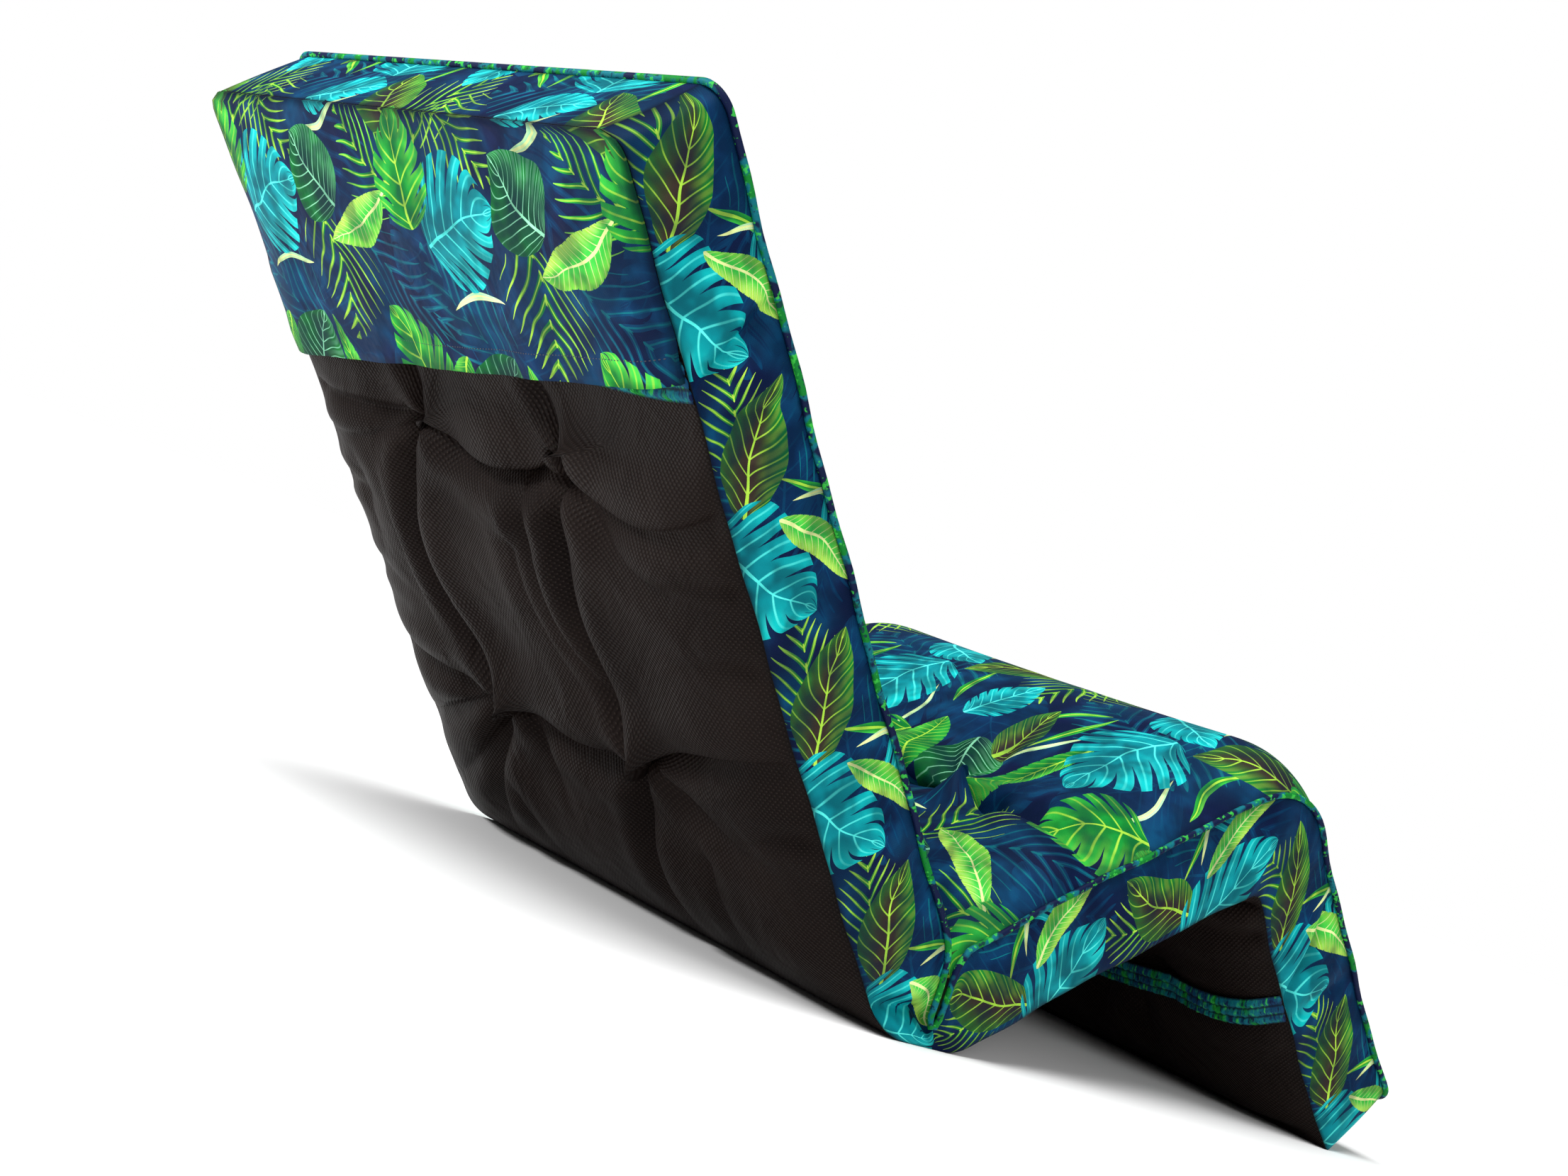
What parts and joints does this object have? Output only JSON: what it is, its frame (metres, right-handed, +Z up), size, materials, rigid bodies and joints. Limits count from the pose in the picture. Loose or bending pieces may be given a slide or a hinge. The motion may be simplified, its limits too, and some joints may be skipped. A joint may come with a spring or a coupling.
{
  "type": "sun lounger cushion",
  "caption": "Long boxed and tufted lounger pad, bent at the hip fold and the knee, with a printed side band, piping, a hood over its top and an elastic strap under the leg.",
  "frame": {"origin": "middle of the flat under the hip fold, on the surface that the cushion lies on", "axes": "+X across the cushion, +Y from the back towards the foot, +Z up"},
  "size_m": [0.6118, 1.1886, 0.5706],
  "materials": {
    "cover": "matt woven cloth",
    "printed_cloth": "smooth printed cloth",
    "ruched_elastic": "gathered printed cloth",
    "piping_cloth": "printed piping"
  },
  "bodies": {
    "root": {"cushion": "cover", "hood_panel": "printed_cloth", "leg_strap": "ruched_elastic", "back_strap": "ruched_elastic", "piping": "piping_cloth"}
  },
  "joints": []
}
